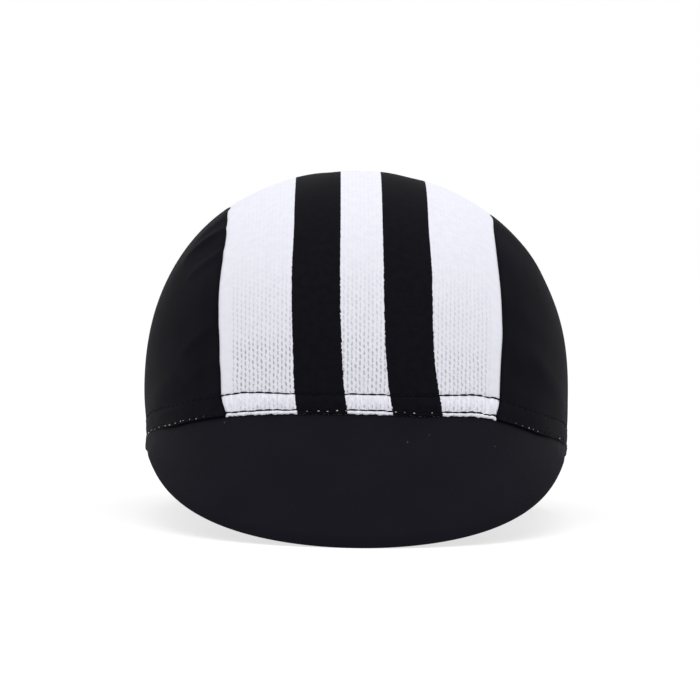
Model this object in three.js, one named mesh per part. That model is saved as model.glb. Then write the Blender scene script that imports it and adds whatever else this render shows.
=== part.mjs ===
// A cycling cap: a crown of three cloth panels, a sweatband inside its hem, and a short drooping peak.
// Millimetres, +Z up, the peak towards -Y. The cap stands by itself on z = 0, on its peak and its back hem.
import * as THREE from "three";
import { mergeVertices } from "three/addons/utils/BufferGeometryUtils.js";

// Crown: the rim is an ellipse in plan, measured from the ear line, and the dome stands over it
const RIM_HALF_WIDTH = 81.6;
const RIM_FRONT = 87;
const RIM_BACK = 103;
const CROWN_HEIGHT = 108.5;
const DOME_POWER = 3.08; // 2 is an ellipsoid; more gives steeper sides under the same top
const CROWN_LEAN = 1.5; // how far the top sits behind the middle
const CROWN_SWAY = -0.8; // how far it sits towards the wearer's left
const LEAN_POWER = 1.5;
const CROWN_BULGE = 1.3; // the cloth stands out between the hem and the top
const CLOTH = 1;
const PIECE_GAP = 0.3;

// Centre panel, and how its seams run: along is the share of the way from the front rim to the back rim.
// width, and drift towards the wearer's left, are shares of the panel's half width.
const PANEL_HALF_WIDTH = 52.2;
const SEAM_LINE = [
  { along: 0, width: 0.947, drift: 0.028 },
  { along: 0.03, width: 0.968, drift: 0.022 },
  { along: 0.15, width: 0.991, drift: 0.017 },
  { along: 0.45, width: 0.885, drift: 0.02 },
  { along: 0.7, width: 0.88, drift: 0 },
  { along: 1, width: 0.83, drift: 0 },
];

// Sweatband inside the hem
const BAND_HEIGHT = 9;
const BAND_CLOTH = 1;

// Peak: a stiffened crescent sewn under the front half of the rim
const PEAK_LENGTH = 64.2;
const PEAK_THICKNESS = 2.6;
const PEAK_END_LENGTH = 2.4;
const PEAK_END_THICKNESS = 1.4;
const PEAK_HALF_TURN = 86; // degrees round the rim, from the front to each end
const PEAK_DROOP_FRONT = 55.2; // degrees below the rim's plane
const PEAK_DROOP_SIDE = 59.7;
const PEAK_CAMBER = 1.6;
const PEAK_INSET = 0.8; // the hem's lip stands out over the peak's root by this much
const PEAK_TAPER = { turn: 2.0, width: 2.4 }; // powers that shape its outline

// The front hem is a little skew: it runs up towards the wearer's right and down towards their left
const HEM_SKEW = 0.7;
const SKEW_POWER = 3;
const SKEW_BACK_FADE = 45;
const SKEW_HEIGHT_FADE = 40;

// Back hem, drawn in by its elastic
const BACK_TUCK = 3;
const TUCK_FULL = 0.6; // shares of the gathered half width between which the tuck dies out
const TUCK_END = 1.5;
const GATHER_COUNT = 7;
const GATHER_DEPTH = 1.3;
const GATHER_MARGIN = 3; // plain cloth between the last gather and the panel's seam
const GATHER_FULL = 0.75; // share of the half width beyond which gathers grow shallower
const GATHER_FADE = 24; // height over which gathers die out
const REST_HALF_WIDTH = 26; // stretch of the back hem that lies flat
const REST_BLEND = 18; // beyond it the hem lifts back to the rim's plane
const REST_FADE = 30;

// Soft folds in the side panels. side is -1 on the wearer's right. Turns are degrees round from the front,
// heights are shares of the crown's height, and width and depth are shares of the two sizes here.
const FOLD_WIDTH = 7;
const FOLD_DEPTH = 1;
const FOLD_ENDS = 0.15; // how far along a sine's rise a fold starts and stops
const FOLDS = [
  { side: -1, turn: 42, height: 0.86, toTurn: 62, toHeight: 0.7, width: 0.7, depth: 0.9 },
  { side: -1, turn: 44, height: 0.74, toTurn: 66, toHeight: 0.58, width: 0.7, depth: 0.7 },
  { side: -1, turn: 40, height: 0.2, toTurn: 72, toHeight: 0.08, width: 0.85, depth: 0.9 },
  { side: 1, turn: 40, height: 0.3, toTurn: 70, toHeight: 0.14, width: 0.85, depth: 0.8 },
  { side: 1, turn: 50, height: 0.8, toTurn: 72, toHeight: 0.64, width: 0.85, depth: 0.7 },
  { side: -1, turn: 112, height: 0.5, toTurn: 140, toHeight: 0.16, width: 1, depth: 0.9 },
  { side: 1, turn: 110, height: 0.46, toTurn: 142, toHeight: 0.14, width: 1, depth: 0.9 },
];

// Mesh steps
const ALONG_STEPS = 40;
const ACROSS_STEPS = 4 * GATHER_COUNT;
const SIDE_STEPS = 9;
const BAND_SIDE_STEPS = ALONG_STEPS;
const PEAK_STEPS = 48;
const PEAK_ACROSS_STEPS = 4;
const PEAK_EDGE_STEPS = 3;
const LENGTH_SAMPLES = 720;
const MERGE_DISTANCE = 1e-3;

const degrees = (value) => THREE.MathUtils.degToRad(value);
const mix = THREE.MathUtils.lerp;
const smooth = (value, low, high) => THREE.MathUtils.smoothstep(value, low, high);
const bell = (ratio) => Math.exp(-ratio * ratio);

// How far the dome's middle line has moved back and sideways at a height.
const leanAt = (z) => CROWN_LEAN * (z / CROWN_HEIGHT) ** LEAN_POWER;
const swayAt = (z) => CROWN_SWAY * (z / CROWN_HEIGHT) ** LEAN_POWER;
const depthAt = (y) => (y < 0 ? RIM_FRONT : RIM_BACK);

// The dome is a unit half sphere stretched to the crown's sizes: q is a point on that half sphere.
function domePoint(q) {
  const z = CROWN_HEIGHT * Math.max(q.z, 0) ** (2 / DOME_POWER);
  return new THREE.Vector3(RIM_HALF_WIDTH * q.x + swayAt(z), depthAt(q.y) * q.y + leanAt(z), z);
}

function domeNormal(p) {
  const y = p.y - leanAt(p.z);
  const slopeX = (2 * (p.x - swayAt(p.z))) / RIM_HALF_WIDTH ** 2;
  const slopeY = (2 * y) / depthAt(y) ** 2;
  const rise = (DOME_POWER / CROWN_HEIGHT) * (p.z / CROWN_HEIGHT) ** (DOME_POWER - 1);
  const tilt = (LEAN_POWER / CROWN_HEIGHT) * (p.z / CROWN_HEIGHT) ** (LEAN_POWER - 1);
  const drop = tilt * (slopeX * CROWN_SWAY + slopeY * CROWN_LEAN);
  return new THREE.Vector3(slopeX, slopeY, rise - drop).normalize();
}

// The seam's x on one side, by the share of the way from the front rim to the back rim.
function seamX(side, along) {
  const next = Math.max(SEAM_LINE.findIndex((row) => row.along >= along), 1);
  const [low, high] = [SEAM_LINE[next - 1], SEAM_LINE[next]];
  const share = smooth(along, low.along, high.along);
  const width = mix(low.width, high.width, share);
  const drift = mix(low.drift, high.drift, share);
  return PANEL_HALF_WIDTH * (drift + side * width);
}

const gatherHalfWidth = seamX(1, 1) - GATHER_MARGIN;

// The back hem: tucked in by the elastic, and rippled across the centre panel.
function backRelief(p) {
  if (p.y <= 0) return 0;
  const across = Math.abs(p.x) / gatherHalfWidth;
  const tuck = BACK_TUCK * (1 - smooth(across, TUCK_FULL, TUCK_END));
  const wave = Math.cos((Math.PI * GATHER_COUNT * p.x) / gatherHalfWidth);
  const gather = GATHER_DEPTH * wave * (1 - smooth(across, GATHER_FULL, 1));
  return (gather - tuck) * bell(p.z / GATHER_FADE);
}

// One soft ridge along a straight line drawn in degrees round the crown and height up it.
function foldRelief(p, fold) {
  const turn = THREE.MathUtils.radToDeg(Math.atan2(fold.side * p.x, -p.y));
  const perDegree = degrees(RIM_HALF_WIDTH);
  const start = new THREE.Vector2(fold.turn * perDegree, fold.height * CROWN_HEIGHT);
  const end = new THREE.Vector2(fold.toTurn * perDegree, fold.toHeight * CROWN_HEIGHT);
  const along = end.clone().sub(start);
  const from = new THREE.Vector2(turn * perDegree, p.z).sub(start);
  const share = THREE.MathUtils.clamp(from.dot(along) / along.lengthSq(), 0, 1);
  const distance = from.sub(along.multiplyScalar(share)).length();
  const strength = Math.sin(Math.PI * mix(FOLD_ENDS, 1 - FOLD_ENDS, share));
  return FOLD_DEPTH * fold.depth * bell(distance / (FOLD_WIDTH * fold.width)) * strength;
}

function relief(p) {
  const bulge = CROWN_BULGE * Math.sin((Math.PI * p.z) / CROWN_HEIGHT);
  return FOLDS.reduce((sum, fold) => sum + foldRelief(p, fold), bulge + backRelief(p));
}

// A point of the crown at a depth under its outer face, before the back hem settles on the floor.
function clothPoint(q, under) {
  const p = domePoint(q);
  return p.clone().addScaledVector(domeNormal(p), relief(p) - under);
}

// How far the hem runs above its plane at a place round the rim: level at the front and at the back.
function skewAt(p) {
  const side = (p.x / RIM_HALF_WIDTH) ** SKEW_POWER;
  return -HEM_SKEW * side * bell(Math.max(p.y, 0) / SKEW_BACK_FADE);
}

// Peak

function rimPoint(turn) {
  return new THREE.Vector3(RIM_HALF_WIDTH * Math.sin(turn), -RIM_FRONT * Math.cos(turn), 0);
}

const UP = new THREE.Vector3(0, 0, 1);

// The peak's cross-section at a turn round the rim: its upper and lower faces, from the root to the edge.
function peakSection(turn) {
  const share = Math.abs(turn) / degrees(PEAK_HALF_TURN);
  const fullness = Math.max(1 - share ** PEAK_TAPER.turn, 0) ** PEAK_TAPER.width;
  const length = mix(PEAK_END_LENGTH, PEAK_LENGTH, fullness);
  const droop = degrees(mix(PEAK_DROOP_FRONT, PEAK_DROOP_SIDE, Math.sin(turn) ** 2));
  const out = domeNormal(rimPoint(turn));
  const along = out.clone().multiplyScalar(Math.cos(droop)).addScaledVector(UP, -Math.sin(droop));
  const lift = out.clone().multiplyScalar(Math.sin(droop)).addScaledVector(UP, Math.cos(droop));
  const half = mix(PEAK_END_THICKNESS, PEAK_THICKNESS, Math.sqrt(fullness)) / 2;
  const root = rimPoint(turn).addScaledVector(out, -PEAK_INSET).addScaledVector(UP, -PIECE_GAP);
  const flat = length - half;
  const steps = [];
  for (let i = 0; i <= PEAK_ACROSS_STEPS; i++) {
    steps.push({ distance: (flat * i) / PEAK_ACROSS_STEPS, half });
  }
  for (let i = 1; i <= PEAK_EDGE_STEPS; i++) {
    const angle = (Math.PI / 2) * (i / PEAK_EDGE_STEPS);
    steps.push({ distance: flat + half * Math.sin(angle), half: half * Math.cos(angle) });
  }
  const face = [];
  const back = [];
  for (const step of steps) {
    const across = step.distance / length;
    const camber = PEAK_CAMBER * (length / PEAK_LENGTH) * 4 * across * (1 - across);
    const middle = root.clone().addScaledVector(along, step.distance).addScaledVector(lift, camber - half);
    middle.z += skewAt(rimPoint(turn)) * (1 - across) ** 2;
    face.push(middle.clone().addScaledVector(lift, step.half));
    back.push(middle.clone().addScaledVector(lift, -step.half));
  }
  return { face, back };
}

const peakSections = Array.from({ length: PEAK_STEPS + 1 }, (_, i) =>
  peakSection(degrees(mix(-PEAK_HALF_TURN, PEAK_HALF_TURN, i / PEAK_STEPS))),
);

// How the cap stands: it leans back until the peak's edge and the back hem's heel are level

const heel = clothPoint(new THREE.Vector3(0, 1, 0), 0);

const restTilt = Math.max(
  ...peakSections.flatMap(({ back }) => back.map((p) => Math.atan2(heel.z - p.z, heel.y - p.y))),
);

// Skews the hem, and lets its back stretch down to the plane that the cap stands on, so that it lies flat there.
function settle(p) {
  p.z += skewAt(p) * bell(p.z / SKEW_HEIGHT_FADE);
  const drop = (heel.y - p.y) * Math.tan(restTilt);
  const reach = 1 - smooth(Math.abs(p.x), REST_HALF_WIDTH, REST_HALF_WIDTH + REST_BLEND);
  const fade = THREE.MathUtils.clamp(1 - p.z / REST_FADE, 0, 1) ** 2;
  if (p.y > 0) p.z -= drop * reach * fade;
  return p;
}

// Solids are swept through sections. Each section holds a face rail and a back rail of as many points.

function swept(sections, isRing) {
  const rail = sections[0].face.length;
  const loop = 2 * rail;
  const positions = [];
  for (const { face, back } of sections) {
    for (const p of [...face, ...[...back].reverse()]) positions.push(p.x, p.y, p.z);
  }
  const index = [];
  const quad = (a, b, c, d) => index.push(a, b, c, a, c, d);
  const spans = isRing ? sections.length : sections.length - 1;
  for (let i = 0; i < spans; i++) {
    const here = i * loop;
    const next = ((i + 1) % sections.length) * loop;
    for (let k = 0; k < loop; k++) {
      const k2 = (k + 1) % loop;
      quad(here + k, here + k2, next + k2, next + k);
    }
  }
  if (!isRing) {
    const last = (sections.length - 1) * loop;
    for (let k = 0; k < rail - 1; k++) {
      const k2 = loop - 1 - k;
      quad(k, k2, k2 - 1, k + 1);
      quad(last + k, last + k + 1, last + k2 - 1, last + k2);
    }
  }
  const geometry = new THREE.BufferGeometry();
  geometry.setAttribute("position", new THREE.Float32BufferAttribute(positions, 3));
  geometry.setIndex(index);
  return tidied(geometry);
}

// Merges the points that fall together, drops the triangles that they leave flat, and turns all faces outwards.
function tidied(geometry) {
  const merged = mergeVertices(geometry, MERGE_DISTANCE);
  const position = merged.getAttribute("position");
  const kept = [];
  const corners = [new THREE.Vector3(), new THREE.Vector3(), new THREE.Vector3()];
  let volume = 0;
  for (let i = 0; i < merged.index.count; i += 3) {
    const three = [0, 1, 2].map((k) => merged.index.getX(i + k));
    if (new Set(three).size < 3) continue;
    kept.push(...three);
    corners.forEach((corner, k) => corner.fromBufferAttribute(position, three[k]));
    volume += corners[0].dot(corners[1].clone().cross(corners[2]));
  }
  merged.setIndex(volume < 0 ? kept.reverse() : kept);
  merged.computeVertexNormals();
  return merged;
}

// Crown panels

// A point of the unit half sphere at x, an angle over the ear line from the front rim.
function spherePoint(x, angle) {
  const k = Math.sqrt(1 - x * x);
  return new THREE.Vector3(x, -k * Math.cos(angle), k * Math.sin(angle));
}

// Angles over the crown that divide its middle line into even lengths.
function evenAngles(count) {
  const samples = LENGTH_SAMPLES;
  const points = Array.from({ length: samples + 1 }, (_, i) =>
    domePoint(spherePoint(0, (Math.PI * i) / samples)),
  );
  const lengths = [0];
  for (let i = 1; i <= samples; i++) lengths.push(lengths[i - 1] + points[i].distanceTo(points[i - 1]));
  return Array.from({ length: count + 1 }, (_, i) => {
    const wanted = (lengths[samples] * i) / count;
    const after = Math.max(lengths.findIndex((length) => length >= wanted), 1);
    const share = (wanted - lengths[after - 1]) / (lengths[after] - lengths[after - 1]);
    return (Math.PI * (after - 1 + Math.min(share, 1))) / samples;
  });
}

const stations = evenAngles(ALONG_STEPS);

// A section of cloth through points of the unit half sphere.
function clothSection(points, under, wall) {
  return {
    face: points.map((q) => settle(clothPoint(q, under))),
    back: points.map((q) => settle(clothPoint(q, under + wall))),
  };
}

function centrePanel() {
  const sections = stations.map((angle, i) => {
    const right = seamX(-1, i / ALONG_STEPS) + PIECE_GAP / 2;
    const left = seamX(1, i / ALONG_STEPS) - PIECE_GAP / 2;
    const points = [];
    for (let k = 0; k <= ACROSS_STEPS; k++) {
      points.push(spherePoint(mix(right, left, k / ACROSS_STEPS) / RIM_HALF_WIDTH, angle));
    }
    return clothSection(points, 0, CLOTH);
  });
  return swept(sections, false);
}

// A side panel is D-shaped: each section climbs from the rim to the seam, and both ends close to a corner.
function sidePanel(side) {
  const seam = stations.map((angle, i) => {
    const x = seamX(side, i / ALONG_STEPS) + (side * PIECE_GAP) / 2;
    return spherePoint(x / RIM_HALF_WIDTH, angle);
  });
  const turnOf = (q) => Math.atan2(side * q.x, -q.y);
  const first = turnOf(seam[0]);
  const last = turnOf(seam[ALONG_STEPS]);
  const sections = seam.map((top, i) => {
    const turn = mix(first, last, i / ALONG_STEPS);
    const bottom = new THREE.Vector3(side * Math.sin(turn), -Math.cos(turn), 0);
    const points = [];
    for (let k = 0; k <= SIDE_STEPS; k++) {
      const climb = (k / SIDE_STEPS) ** (DOME_POWER / 2);
      points.push(bottom.clone().lerp(top, climb).normalize());
    }
    return clothSection(points, 0, CLOTH);
  });
  return swept(sections, false);
}

// The band's stations stand under the panels' own columns, so that the two cloths keep apart in every gather.
function bandStations() {
  const top = (BAND_HEIGHT / CROWN_HEIGHT) ** (DOME_POWER / 2);
  const columns = [];
  const addPanelColumns = (along, side) => {
    for (let k = 0; k <= ACROSS_STEPS; k++) {
      const x = mix(seamX(-side, along), seamX(side, along), k / ACROSS_STEPS) / RIM_HALF_WIDTH;
      const rise = Math.asin(top / Math.sqrt(1 - x * x));
      columns.push([0, rise].map((angle) => spherePoint(x, along === 0 ? angle : Math.PI - angle)));
    }
  };
  const addSideColumns = (side, from, to) => {
    const start = Math.acos(-spherePoint(seamX(side, from) / RIM_HALF_WIDTH, from * Math.PI).y);
    const end = Math.acos(-spherePoint(seamX(side, to) / RIM_HALF_WIDTH, to * Math.PI).y);
    for (let i = 1; i < BAND_SIDE_STEPS; i++) {
      const turn = side * mix(start, end, i / BAND_SIDE_STEPS);
      columns.push([0, top].map((z) => {
        const k = Math.sqrt(1 - z * z);
        return new THREE.Vector3(k * Math.sin(turn), -k * Math.cos(turn), z);
      }));
    }
  };
  addPanelColumns(0, 1);
  addSideColumns(1, 0, 1);
  addPanelColumns(1, -1);
  addSideColumns(-1, 1, 0);
  return columns;
}

function sweatband() {
  const under = CLOTH + PIECE_GAP;
  return swept(bandStations().map((points) => clothSection(points, under, BAND_CLOTH)), true);
}

// Assembly

const whiteMesh = new THREE.MeshStandardMaterial({ color: 0xdfdfe8, roughness: 0.85, metalness: 0 });
const blackJersey = new THREE.MeshStandardMaterial({ color: 0x1c1c20, roughness: 0.8, metalness: 0 });
const blackPeakCloth = new THREE.MeshStandardMaterial({ color: 0x1d1c22, roughness: 0.85, metalness: 0 });
const bandCloth = new THREE.MeshStandardMaterial({ color: 0x202024, roughness: 0.9, metalness: 0 });

function named(name, geometry, material) {
  const mesh = new THREE.Mesh(geometry, material);
  mesh.name = name;
  return mesh;
}

const worn = new THREE.Group();
worn.add(
  named("centre_panel", centrePanel(), whiteMesh),
  named("side_panel_left", sidePanel(1), blackJersey),
  named("side_panel_right", sidePanel(-1), blackJersey),
  named("sweatband", sweatband(), bandCloth),
  named("peak", swept(peakSections, false), blackPeakCloth),
);
worn.rotation.x = -restTilt;

const cap = new THREE.Group();
cap.add(worn);
const bounds = new THREE.Box3().setFromObject(cap, true);
const middle = bounds.getCenter(new THREE.Vector3());
worn.position.set(-middle.x, -middle.y, -bounds.min.z);

export default cap;
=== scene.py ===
import math

import bmesh
import bpy
import numpy as np
from mathutils import Matrix, Vector


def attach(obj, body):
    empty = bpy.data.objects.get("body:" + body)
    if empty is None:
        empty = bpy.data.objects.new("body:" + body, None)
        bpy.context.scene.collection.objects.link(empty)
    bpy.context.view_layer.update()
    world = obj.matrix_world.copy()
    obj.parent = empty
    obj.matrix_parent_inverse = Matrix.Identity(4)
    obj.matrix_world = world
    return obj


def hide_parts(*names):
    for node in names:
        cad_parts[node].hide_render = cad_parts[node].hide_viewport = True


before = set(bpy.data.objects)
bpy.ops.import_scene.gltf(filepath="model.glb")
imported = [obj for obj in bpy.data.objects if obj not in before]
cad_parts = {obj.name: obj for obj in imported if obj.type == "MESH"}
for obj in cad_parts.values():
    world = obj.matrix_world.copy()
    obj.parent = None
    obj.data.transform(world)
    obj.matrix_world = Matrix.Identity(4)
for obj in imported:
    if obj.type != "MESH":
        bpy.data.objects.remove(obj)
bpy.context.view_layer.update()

# Cycling cap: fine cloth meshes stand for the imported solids. Lengths are in millimetres in the rim's frame,
# where the hem's plane is z = 0 and the peak points to -Y. Placing turns them into metres in the cap's frame.
MM = 0.001

# Crown, as in the solids, with seams that follow the photograph a little more closely
RIM_HALF_WIDTH = 81.6
RIM_FRONT = 87
RIM_BACK = 103
CROWN_HEIGHT = 108.5
DOME_POWER = 3.08
CROWN_LEAN = 1.5
CROWN_SWAY = -0.8
LEAN_POWER = 1.5
CROWN_BULGE = 1.3
CLOTH = 1.0
PANEL_HALF_WIDTH = 52.2
SEAM_LINE = {
    "along": [0, 0.03, 0.15, 0.32, 0.45, 0.7, 1],
    "width": [0.955, 0.985, 0.998, 0.949, 0.952, 0.89, 0.83],
    "drift": [0.028, 0.022, 0.018, 0.023, 0.016, 0, 0],
}
SEAM_CLEARANCE = 0.05  # from the seam's line to each panel's edge

# Peak, as in the solids but for its edge and its tails
PEAK_LENGTH = 64.2
PEAK_THICKNESS = 2.6
PEAK_END_LENGTH = 2.4
PEAK_END_THICKNESS = 1.4
PEAK_HALF_TURN = math.radians(86)
PEAK_DROOP_FRONT = math.radians(55.2)
PEAK_DROOP_SIDE = math.radians(59.7)
PEAK_CAMBER = 1.6
PEAK_INSET = 0.8
PEAK_TAPER_TURN = 2.0
PEAK_TAPER_WIDTH = 2.4
PEAK_GAP = 0.3
PEAK_EDGE_ROLL = 0.9  # the cover turns down over the last few millimetres
PEAK_EDGE_WIDTH = 5
PEAK_TAIL_TURN = math.radians(9)  # at its ends the peak runs out into the hem, to these shares
PEAK_TAIL_LENGTH = 0.3
PEAK_TAIL_THICKNESS = 0.35
PEAK_TAIL_RISE = 1.7  # and it ends inside the hem's cloth
PEAK_TAIL_DROOP = math.radians(8)  # it hangs more steeply there, between these turns
PEAK_DROOP_FROM = math.radians(64)
PEAK_DROOP_TO = math.radians(76)

# The hem runs a little higher on one side than on the other, as in the solids
HEM_SKEW = 0.7
SKEW_POWER = 3
SKEW_BACK_FADE = 45
SKEW_HEIGHT_FADE = 40

# Slow waves of the front hem, which the solids leave out: where each is, its width and its height
HEM_WAVES = [(-50, 26, 1.2), (46.5, 16, 2.2)]
WAVE_FADE = 30

# At the ears the hem runs up a little and turns in, also only here
EAR_LIFT = 2.0
EAR_TUCK = {-1: 1.3, 1: 0.7}
EAR_INNER = 66  # where across the cap it starts
EAR_BACK = 40
EAR_HEIGHT = 14

# Back hem, as in the solids
BACK_TUCK = 3
TUCK_FULL = 0.6
TUCK_END = 1.5
GATHER_COUNT = 7
GATHER_DEPTH = 1.3
GATHER_MARGIN = 3
GATHER_FULL = 0.75
GATHER_FADE = 24
REST_HALF_WIDTH = 26
REST_BLEND = 18
REST_FADE = 30

# Fine pleats that the elastic makes in the back hem, only here: rows of wave length, height and phase
PLEATS = [(4.7, 0.34, 0.4), (6.1, 0.24, 1.7), (3.4, 0.1, 2.6)]
PLEAT_INNER = 32
PLEAT_OUTER = 52
PLEAT_HEIGHT = 11

# Sweatband
BAND_HEIGHT = 9
BAND_CLOTH = 1.0
BAND_GAP = 0.3
BAND_BOW = 0.35

# Soft folds in the side panels, as in the solids. The last six rows are faint ones, only here.
FOLD_WIDTH = 7
FOLD_DEPTH = 1
FOLD_ENDS = 0.15
FOLDS = [
    {"side": -1, "turn": 42, "height": 0.86, "to_turn": 62, "to_height": 0.7, "width": 0.7, "depth": 0.9},
    {"side": -1, "turn": 44, "height": 0.74, "to_turn": 66, "to_height": 0.58, "width": 0.7, "depth": 0.7},
    {"side": -1, "turn": 40, "height": 0.2, "to_turn": 72, "to_height": 0.08, "width": 0.85, "depth": 0.9},
    {"side": 1, "turn": 40, "height": 0.3, "to_turn": 70, "to_height": 0.14, "width": 0.85, "depth": 0.8},
    {"side": 1, "turn": 50, "height": 0.8, "to_turn": 72, "to_height": 0.64, "width": 0.85, "depth": 0.7},
    {"side": -1, "turn": 112, "height": 0.5, "to_turn": 140, "to_height": 0.16, "width": 1, "depth": 0.9},
    {"side": 1, "turn": 110, "height": 0.46, "to_turn": 142, "to_height": 0.14, "width": 1, "depth": 0.9},
    {"side": -1, "turn": 48, "height": 0.76, "to_turn": 62, "to_height": 0.67, "width": 0.25, "depth": 0.45},
    {"side": -1, "turn": 45, "height": 0.7, "to_turn": 61, "to_height": 0.615, "width": 0.2, "depth": 0.7},
    {"side": -1, "turn": 41.5, "height": 0.6, "to_turn": 54, "to_height": 0.535, "width": 0.28, "depth": 0.6},
    {"side": -1, "turn": 39, "height": 0.32, "to_turn": 51, "to_height": 0.25, "width": 0.35, "depth": 0.5},
    {"side": -1, "turn": 37, "height": 0.195, "to_turn": 50, "to_height": 0.125, "width": 0.4, "depth": 0.5},
    {"side": -1, "turn": 38, "height": 0.075, "to_turn": 66, "to_height": 0.035, "width": 0.2, "depth": 0.35},
]

# Slow unevenness of the cloth, from a little over the hem: a broad slanting wave and a finer one
UNEVEN_DEPTH = 0.16
UNEVEN_FROM = 8
UNEVEN_TO = 20
UNEVEN_BROAD = {"run": 13, "slant": 0.06, "height": 17, "phase": 0.8}
UNEVEN_FINE = {"run": 7.3, "height": 9.1, "phase": 2, "share": 0.6}

# Rows of stitches, and how the cloth is pulled in along them
STITCH_PITCH = 3.5
LOWER_ROW = 0.75
UPPER_ROW = 6.6
UPPER_ROW_SIDE = 7.3  # it runs higher at the sides, between these places across the cap
UPPER_ROW_FROM = 15
UPPER_ROW_TO = 45
UPPER_ROW_WAVE = (-41, 7, 0.5)  # where it runs a little higher, over what width, and by how much
ROW_DEPTH = 0.4
ROW_WIDTH = 0.55
ROW_PULL = 0.6  # the pull's mean, and its swing from stitch to stitch
ROW_PULL_SWING = 0.4
ROW_SMOOTH_SHARE = 0.25  # what is left of the rows' depth in the smoothest cloth
SIDE_RUMPLE = 0.15  # the side panels' hem is smoother than the centre panel's

# Hem. Its uneven waves are rows of wave length, height and phase.
HEM_PUFF = 0.35
HEM_CRINKLE = [(2.1, 0.06, 0.3), (3.3, 0.07, 1.9), (5.9, 0.06, 0.8)]
LIP_PUFF = 0.55
LIP_HEIGHT = 0.2
LIP_WIDTH = 0.9
LIP_PINCH = 0.4
LIP_WAVES = [(11, 0.12, 0.5), (27, 0.12, 2.0)]
LIP_BEADS = [(2.3, 0.2, 1.1), (3.9, 0.16, 0.2)]
LIP_ROUND = {"front": 0.7, "side": 0.5, "back": 0}  # how far the hem's edge bulges down
LIP_ROUND_WAVES = [(2.6, 0.16, 0.9), (4.3, 0.14, 2.2), (7.7, 0.12, 0.1)]
ROUND_ANGLES = (math.pi * 0.42, math.pi * 0.2)  # the edge's points, up from its bottom

# Grooves along the seams, which are flatter over the crown's top, from one height to the other
SEAM_DEPTH = 0.75
SEAM_DEPTH_TOP = 0.2
SEAM_TOP_FROM = 60
SEAM_TOP_TO = 84
SEAM_WIDTH = 0.8
SEAM_ALLOWANCE = 5  # the cloth is doubled this far from the seam, with a soft end
SEAM_ALLOWANCE_BLEND = 1.5

# Printed stripes, from the middle of the centre panel
STRIPE_INNER = 7.8
STRIPE_OUTER = 25.35
STRIPE_DRIFT = 1.1
STRIPE_SWING = 3.5  # and this much more at the front hem
STRIPE_SWING_FADE = 17
STRIPE_SPREAD = 0.04  # they are this much wider at the hem
STRIPE_SPREAD_FADE = 28
STRIPE_PINCH = 0.028  # and this much narrower over the top
STRIPE_PINCH_FROM = 50
STRIPE_PINCH_TO = 75
FRONT_HALF = 0.5  # share of the way over the crown that counts as its front

# Painted shade in the holes of the mesh, for the shaded inside seen through them: how dark it is just over
# the hem, from the wearer's right to left, the height where it starts to fade upwards to the light, and the
# share that is left over it
EYELETS = {
    "side": [-1, 0, 1],
    "strength": [1.06, 0.88, 0.7],
    "fade_at": [22, 22, 17],
    "over": [0.37, 0.64, 0.44],
}
EYELET_FADE = 10
EYELET_TOP = 0.15
EYELET_TOP_FROM = 32
EYELET_TOP_TO = 62
HEM_HOLE_SHADE = 0.28
HEM_TICKS = 0.6
HEM_TICK_HEIGHT = 2
HEM_TICK_WIDTH = 0.9
HEM_EDGE_UNDER = 0.3  # the doubled cloth of the hem ends softly round the upper row of stitches
HEM_EDGE_OVER = 0.8

# Threads of the stitches
STITCH_LENGTH = 3.8
STITCH_LIFT = -0.06
STITCH_BOW = 0.12
STITCH_SEED = 7
STITCH_START_JITTER = 0.08
STITCH_LENGTH_JITTER = 0.1
STITCH_HEIGHT_JITTER = 0.1
THREAD_RADIUS = 0.3
THREAD_RADII = (0.85, 1.25)  # shares of the radius, between which the stitches differ
THREAD_SIDES = 6
THREAD_PROFILE = [0.65, 1, 1.1, 1, 0.65]  # shares of the radius from end to end
FAR_FROM_SEAM = 1e3

# Pale specks at the needle holes
SPECK_SEED = 11
SPECK_REACH = 132  # how far round the hem they go, each way from the front
SPECK_OFFSET = 1.9
SPECK_CHANCE = {"stripe": 0.9, "right": 0.95, "left": 0.35}
SPECK_STRIPE_MARGIN = 0.5
SPECK_SEAM_MARGIN = 1.5
SPECK_JITTER = 0.4
SPECK_HEIGHT = 0.35
SPECK_HEIGHTS = (0.3, 1.7)  # shares of the height
SPECK_WIDTHS = (0.25, 0.8)
SPECK_RADII = (0.16, 0.27)
SPECK_ON_STRIPE = 0.72  # they are smaller on the printed stripes
SPECK_LIFT = 0.18

# Samples of the curves that lengths are measured along, and of the shapes that the cap is placed by
LINE_SAMPLES = 4001
RIM_SAMPLES = 8001
CROWN_SAMPLES = (401, 801)
PEAK_SAMPLES = {"turns": 49, "shares": 5, "edge": 3}

# Steps of the meshes, which are fine over a margin at both ends
CENTRE_ALONG = {"fine": 0.45, "coarse": 1.7, "margin": 16}
CENTRE_ACROSS = {"fine": 0.45, "coarse": 0.72, "margin": 5}
SIDE_ALONG = {"fine": 0.5, "coarse": 1.25, "margin": 16}
SIDE_CLIMB = {"fine": 0.5, "coarse": 1.3, "margin": 9}
SIDE_CLIMB_LENGTH = 95
PEAK_ALONG = {"fine": 0.8, "coarse": 1.4, "margin": 6}
PEAK_SECTIONS = 261
PEAK_EDGE_STEPS = 6
BAND_SECTIONS = 640
BAND_STEPS = 15

MERGE_DISTANCE = 1e-6
BODY = "root"


def smooth(value, low, high):
    t = np.clip((value - low) / (high - low), 0, 1)
    return t * t * (3 - 2 * t)


def bell(ratio):
    return np.exp(-ratio * ratio)


def mix(low, high, share):
    return low + (high - low) * share


def lengths(v):
    return np.linalg.norm(v, axis=-1, keepdims=True)


def stack(x, y, z):
    return np.stack(np.broadcast_arrays(x, y, z), -1).astype(float)


# Dome


def lean_at(z):
    return CROWN_LEAN * (z / CROWN_HEIGHT) ** LEAN_POWER


def sway_at(z):
    return CROWN_SWAY * (z / CROWN_HEIGHT) ** LEAN_POWER


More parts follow.
